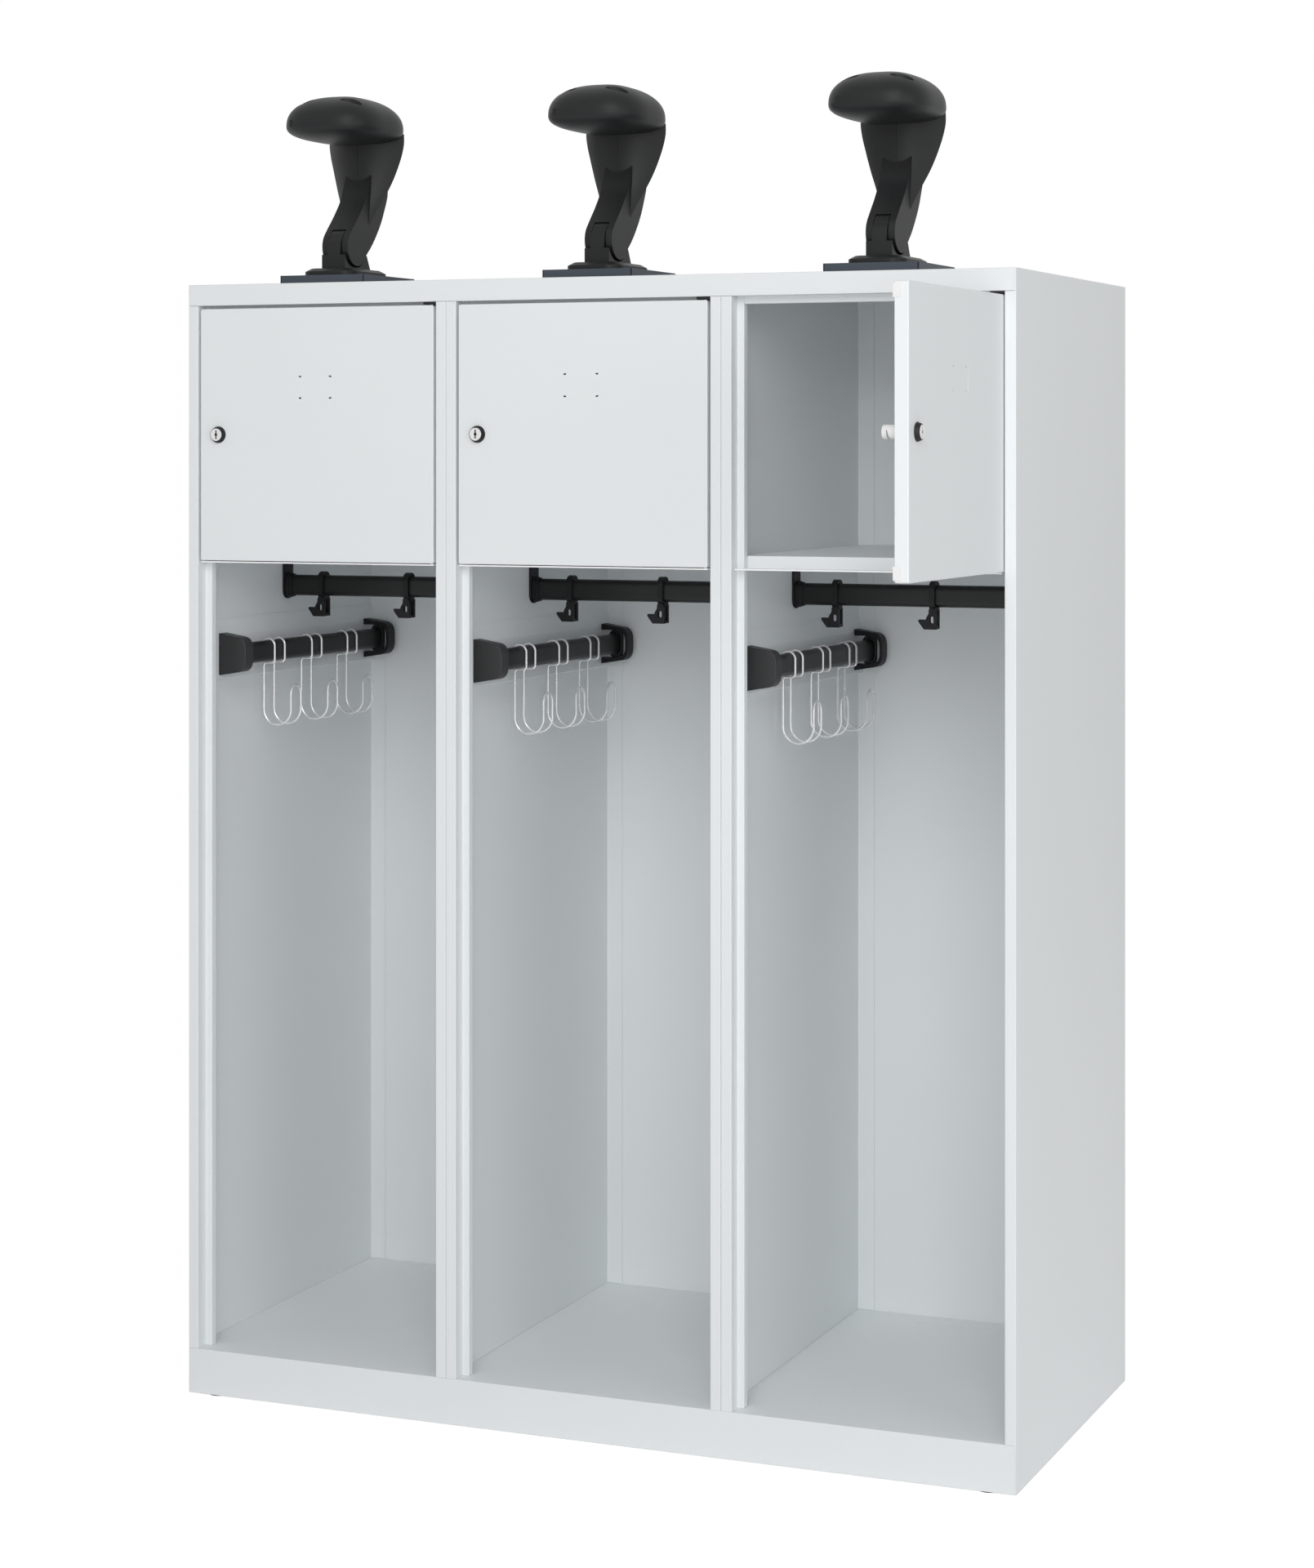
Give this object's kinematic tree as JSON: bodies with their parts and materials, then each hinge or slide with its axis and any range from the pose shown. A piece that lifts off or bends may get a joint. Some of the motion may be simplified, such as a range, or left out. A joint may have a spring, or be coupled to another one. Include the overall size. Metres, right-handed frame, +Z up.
{
  "type": "firefighter gear locker",
  "caption": "Steel gear locker with open hanging compartments, hinged lockable top boxes, sliding hooks on rails and folding helmet holders on top.",
  "frame": {"origin": "on the floor, under the middle of the box that the locker fills with its right door open", "axes": "+Z up, the doors face -Y, +X to the right as seen from the front"},
  "size_m": [1.2004, 0.8495, 1.7915],
  "materials": {
    "powder_coat": "light grey powder coat",
    "black_plastic": "black moulded plastic, satin",
    "black_tube": "black coated oval steel tube",
    "white_plastic": "white moulded plastic",
    "chrome_wire": "bright chrome",
    "slate_coat": "slate blue-grey coat"
  },
  "bodies": {
    "carcass": {"back_panel": "powder_coat", "top_panel": "powder_coat", "floor_panel": "powder_coat", "wall_left_1": "powder_coat", "wall_right_1": "powder_coat", "shelf_1": "powder_coat", "hinge_block_1": "black_plastic", "coat_rail_1": "black_tube", "side_rail_1": "black_tube", "side_rail_front_bracket_1": "black_plastic", "side_rail_rear_bracket_1": "black_plastic", "helmet_plate_1": "slate_coat", "helmet_foot_1": "black_plastic", "wall_left_2": "powder_coat", "wall_right_2": "powder_coat", "shelf_2": "powder_coat", "hinge_block_2": "black_plastic", "coat_rail_2": "black_tube", "side_rail_2": "black_tube", "side_rail_front_bracket_2": "black_plastic", "side_rail_rear_bracket_2": "black_plastic", "helmet_plate_2": "slate_coat", "helmet_foot_2": "black_plastic", "wall_left_3": "powder_coat", "wall_right_3": "powder_coat", "shelf_3": "powder_coat", "hinge_block_3": "black_plastic", "coat_rail_3": "black_tube", "side_rail_3": "black_tube", "side_rail_front_bracket_3": "black_plastic", "side_rail_rear_bracket_3": "black_plastic", "helmet_plate_3": "slate_coat", "helmet_foot_3": "black_plastic"},
    "door_1": {"door_1": "powder_coat"},
    "lock_1": {"lock_barrel_1": "white_plastic"},
    "helmet_holder_1": {"helmet_stem_1": "black_plastic", "helmet_head_1": "black_plastic"},
    "clip_hook_1a": {"clip_hook_1a": "black_plastic"},
    "clip_hook_1b": {"clip_hook_1b": "black_plastic"},
    "wire_hook_1a": {"wire_hook_1a": "chrome_wire"},
    "wire_hook_1b": {"wire_hook_1b": "chrome_wire"},
    "wire_hook_1c": {"wire_hook_1c": "chrome_wire"},
    "door_2": {"door_2": "powder_coat"},
    "lock_2": {"lock_barrel_2": "white_plastic"},
    "helmet_holder_2": {"helmet_stem_2": "black_plastic", "helmet_head_2": "black_plastic"},
    "clip_hook_2a": {"clip_hook_2a": "black_plastic"},
    "clip_hook_2b": {"clip_hook_2b": "black_plastic"},
    "wire_hook_2a": {"wire_hook_2a": "chrome_wire"},
    "wire_hook_2b": {"wire_hook_2b": "chrome_wire"},
    "wire_hook_2c": {"wire_hook_2c": "chrome_wire"},
    "door_3": {"door_3": "powder_coat"},
    "lock_3": {"lock_barrel_3": "white_plastic"},
    "helmet_holder_3": {"helmet_stem_3": "black_plastic", "helmet_head_3": "black_plastic"},
    "clip_hook_3a": {"clip_hook_3a": "black_plastic"},
    "clip_hook_3b": {"clip_hook_3b": "black_plastic"},
    "wire_hook_3a": {"wire_hook_3a": "chrome_wire"},
    "wire_hook_3b": {"wire_hook_3b": "chrome_wire"},
    "wire_hook_3c": {"wire_hook_3c": "chrome_wire"}
  },
  "joints": [
    {"name": "door_1_hinge", "type": "hinge", "parent": "carcass", "child": "door_1", "pos_m": [-0.2245, -0.06775, 1.32475], "axis": [0, 0, 1], "range_deg": [0, 95]},
    {"name": "lock_1_turn", "type": "hinge", "parent": "door_1", "child": "lock_1", "pos_m": [-0.5522, -0.07575, 1.32475], "axis": [0, -1, 0], "range_deg": [0, 180]},
    {"name": "helmet_holder_1_fold", "type": "hinge", "parent": "carcass", "child": "helmet_holder_1", "pos_m": [-0.4, 0.00325, 1.5831], "axis": [1, 0, 0], "range_deg": [0, 45]},
    {"name": "clip_hook_1a_slide", "type": "slide", "parent": "carcass", "child": "clip_hook_1a", "axis": [1, 0, 0], "range_m": [-0.033, 0.052]},
    {"name": "clip_hook_1b_slide", "type": "slide", "parent": "carcass", "child": "clip_hook_1b", "axis": [1, 0, 0], "range_m": [-0.06, 0.16]},
    {"name": "wire_hook_1a_slide", "type": "slide", "parent": "carcass", "child": "wire_hook_1a", "axis": [0, 1, 0], "range_m": [-0.07, 0.045]},
    {"name": "wire_hook_1b_slide", "type": "slide", "parent": "carcass", "child": "wire_hook_1b", "axis": [0, 1, 0], "range_m": [-0.02, 0.025]},
    {"name": "wire_hook_1c_slide", "type": "slide", "parent": "carcass", "child": "wire_hook_1c", "axis": [0, 1, 0], "range_m": [-0.04, 0.06]},
    {"name": "door_2_hinge", "type": "hinge", "parent": "carcass", "child": "door_2", "pos_m": [0.1755, -0.06775, 1.32475], "axis": [0, 0, 1], "range_deg": [0, 95]},
    {"name": "lock_2_turn", "type": "hinge", "parent": "door_2", "child": "lock_2", "pos_m": [-0.1522, -0.07575, 1.32475], "axis": [0, -1, 0], "range_deg": [0, 180]},
    {"name": "helmet_holder_2_fold", "type": "hinge", "parent": "carcass", "child": "helmet_holder_2", "pos_m": [0, 0.00325, 1.5831], "axis": [1, 0, 0], "range_deg": [0, 45]},
    {"name": "clip_hook_2a_slide", "type": "slide", "parent": "carcass", "child": "clip_hook_2a", "axis": [1, 0, 0], "range_m": [-0.033, 0.052]},
    {"name": "clip_hook_2b_slide", "type": "slide", "parent": "carcass", "child": "clip_hook_2b", "axis": [1, 0, 0], "range_m": [-0.06, 0.16]},
    {"name": "wire_hook_2a_slide", "type": "slide", "parent": "carcass", "child": "wire_hook_2a", "axis": [0, 1, 0], "range_m": [-0.07, 0.045]},
    {"name": "wire_hook_2b_slide", "type": "slide", "parent": "carcass", "child": "wire_hook_2b", "axis": [0, 1, 0], "range_m": [-0.02, 0.025]},
    {"name": "wire_hook_2c_slide", "type": "slide", "parent": "carcass", "child": "wire_hook_2c", "axis": [0, 1, 0], "range_m": [-0.04, 0.06]},
    {"name": "door_3_hinge", "type": "hinge", "parent": "carcass", "child": "door_3", "pos_m": [0.5755, -0.06775, 1.32475], "axis": [0, 0, 1], "range_deg": [-90, 5]},
    {"name": "lock_3_turn", "type": "hinge", "parent": "door_3", "child": "lock_3", "pos_m": [0.5835, -0.39545, 1.32475], "axis": [1, 0, 0], "range_deg": [0, 180]},
    {"name": "helmet_holder_3_fold", "type": "hinge", "parent": "carcass", "child": "helmet_holder_3", "pos_m": [0.4, 0.00325, 1.5831], "axis": [1, 0, 0], "range_deg": [0, 45]},
    {"name": "clip_hook_3a_slide", "type": "slide", "parent": "carcass", "child": "clip_hook_3a", "axis": [1, 0, 0], "range_m": [-0.033, 0.052]},
    {"name": "clip_hook_3b_slide", "type": "slide", "parent": "carcass", "child": "clip_hook_3b", "axis": [1, 0, 0], "range_m": [-0.06, 0.16]},
    {"name": "wire_hook_3a_slide", "type": "slide", "parent": "carcass", "child": "wire_hook_3a", "axis": [0, 1, 0], "range_m": [-0.07, 0.045]},
    {"name": "wire_hook_3b_slide", "type": "slide", "parent": "carcass", "child": "wire_hook_3b", "axis": [0, 1, 0], "range_m": [-0.02, 0.025]},
    {"name": "wire_hook_3c_slide", "type": "slide", "parent": "carcass", "child": "wire_hook_3c", "axis": [0, 1, 0], "range_m": [-0.04, 0.06]}
  ]
}
